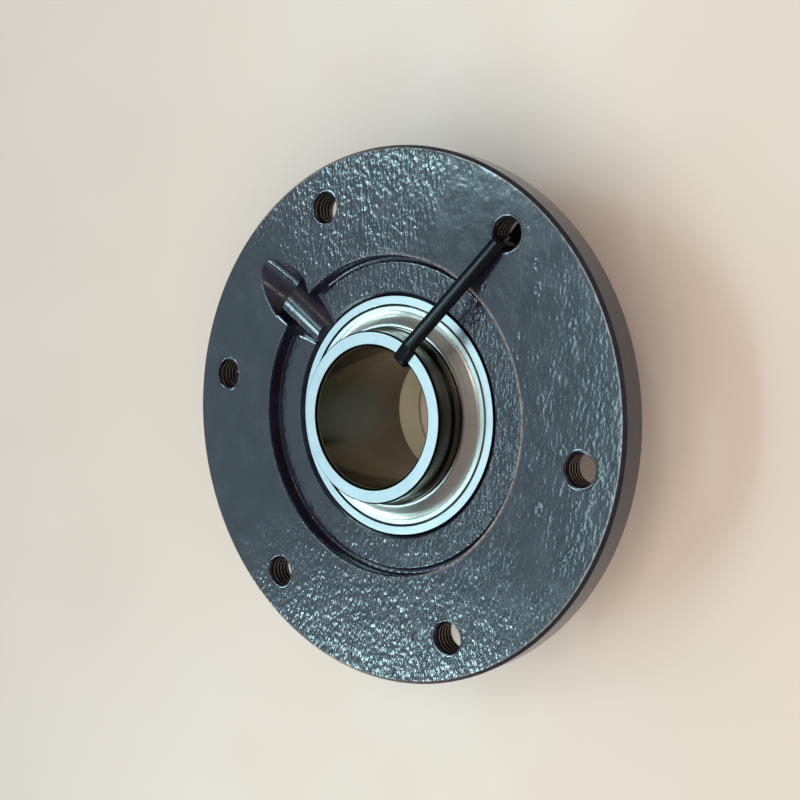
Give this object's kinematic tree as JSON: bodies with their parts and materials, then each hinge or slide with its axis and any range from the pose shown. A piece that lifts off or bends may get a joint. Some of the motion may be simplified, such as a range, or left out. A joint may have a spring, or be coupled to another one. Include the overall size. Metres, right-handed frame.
{
  "type": "flange mount bearing",
  "caption": "Round cast flange bearing unit with tapped mounting holes, a self-aligning ball insert, sheet-metal seals and an eccentric locking collar.",
  "frame": {"origin": "on the bearing axis, in the machined rear face of the flange", "axes": "+Z along the shaft, out of the cast front face; +X through one tapped hole; +Y completes the right-handed frame"},
  "size_m": [0.192, 0.192, 0.0627],
  "materials": {
    "cast_paint": "gloss paint over a rough casting",
    "bearing_steel": "ground and polished",
    "seal_plate": "bright pressed sheet",
    "collar_steel": "olive passivated",
    "black_screw": "black oxide",
    "cage_steel": "pressed sheet",
    "ball_steel": "mirror",
    "seal_rubber": "matt"
  },
  "bodies": {
    "housing": {"housing": "cast_paint"},
    "locating_pin": {"alignment_pin": "bearing_steel"},
    "outer_ring": {"outer_ring": "bearing_steel", "front_seal_carrier": "seal_plate", "front_seal_lip": "seal_rubber", "rear_seal_carrier": "seal_plate", "rear_seal_lip": "seal_rubber"},
    "inner_ring": {"inner_ring": "bearing_steel", "locking_collar": "collar_steel", "collar_set_screw": "black_screw"},
    "cage": {"cage_front_half": "cage_steel", "cage_rear_half": "cage_steel", "cage_rivets": "cage_steel"},
    "ball_01": {"ball_01": "ball_steel"},
    "ball_02": {"ball_02": "ball_steel"},
    "ball_03": {"ball_03": "ball_steel"},
    "ball_04": {"ball_04": "ball_steel"},
    "ball_05": {"ball_05": "ball_steel"},
    "ball_06": {"ball_06": "ball_steel"},
    "ball_07": {"ball_07": "ball_steel"},
    "ball_08": {"ball_08": "ball_steel"},
    "ball_09": {"ball_09": "ball_steel"},
    "ball_10": {"ball_10": "ball_steel"}
  },
  "joints": [
    {"name": "insert_tilt", "type": "hinge", "parent": "housing", "child": "locating_pin", "pos_m": [0, 0, -0.0049], "axis": [1, 0, 0], "range_deg": [-3, 3]},
    {"name": "insert_swing", "type": "hinge", "parent": "locating_pin", "child": "outer_ring", "pos_m": [0, 0, -0.0049], "axis": [0, 1, 0], "range_deg": [-3, 3]},
    {"name": "shaft_turn", "type": "hinge", "parent": "outer_ring", "child": "inner_ring", "pos_m": [0, 0, 0], "axis": [0, 0, 1], "continuous": true},
    {"name": "cage_turn", "type": "hinge", "parent": "outer_ring", "child": "cage", "pos_m": [0, 0, 0], "axis": [0, 0, 1], "continuous": true},
    {"name": "ball_01_roll", "type": "hinge", "parent": "cage", "child": "ball_01", "pos_m": [0.035, 0, -0.0049], "axis": [0, 0, 1], "continuous": true},
    {"name": "ball_02_roll", "type": "hinge", "parent": "cage", "child": "ball_02", "pos_m": [0.02832, 0.02057, -0.0049], "axis": [0, 0, 1], "continuous": true},
    {"name": "ball_03_roll", "type": "hinge", "parent": "cage", "child": "ball_03", "pos_m": [0.01082, 0.03329, -0.0049], "axis": [0, 0, 1], "continuous": true},
    {"name": "ball_04_roll", "type": "hinge", "parent": "cage", "child": "ball_04", "pos_m": [-0.01082, 0.03329, -0.0049], "axis": [0, 0, 1], "continuous": true},
    {"name": "ball_05_roll", "type": "hinge", "parent": "cage", "child": "ball_05", "pos_m": [-0.02832, 0.02057, -0.0049], "axis": [0, 0, 1], "continuous": true},
    {"name": "ball_06_roll", "type": "hinge", "parent": "cage", "child": "ball_06", "pos_m": [-0.035, 0, -0.0049], "axis": [0, 0, 1], "continuous": true},
    {"name": "ball_07_roll", "type": "hinge", "parent": "cage", "child": "ball_07", "pos_m": [-0.02832, -0.02057, -0.0049], "axis": [0, 0, 1], "continuous": true},
    {"name": "ball_08_roll", "type": "hinge", "parent": "cage", "child": "ball_08", "pos_m": [-0.01082, -0.03329, -0.0049], "axis": [0, 0, 1], "continuous": true},
    {"name": "ball_09_roll", "type": "hinge", "parent": "cage", "child": "ball_09", "pos_m": [0.01082, -0.03329, -0.0049], "axis": [0, 0, 1], "continuous": true},
    {"name": "ball_10_roll", "type": "hinge", "parent": "cage", "child": "ball_10", "pos_m": [0.02832, -0.02057, -0.0049], "axis": [0, 0, 1], "continuous": true}
  ],
  "couplings": [
    {"joint": "cage_turn", "follows": "shaft_turn", "ratio": 0.40929},
    {"joint": "ball_01_roll", "follows": "shaft_turn", "ratio": -2.6652},
    {"joint": "ball_02_roll", "follows": "shaft_turn", "ratio": -2.6652},
    {"joint": "ball_03_roll", "follows": "shaft_turn", "ratio": -2.6652},
    {"joint": "ball_04_roll", "follows": "shaft_turn", "ratio": -2.6652},
    {"joint": "ball_05_roll", "follows": "shaft_turn", "ratio": -2.6652},
    {"joint": "ball_06_roll", "follows": "shaft_turn", "ratio": -2.6652},
    {"joint": "ball_07_roll", "follows": "shaft_turn", "ratio": -2.6652},
    {"joint": "ball_08_roll", "follows": "shaft_turn", "ratio": -2.6652},
    {"joint": "ball_09_roll", "follows": "shaft_turn", "ratio": -2.6652},
    {"joint": "ball_10_roll", "follows": "shaft_turn", "ratio": -2.6652}
  ]
}
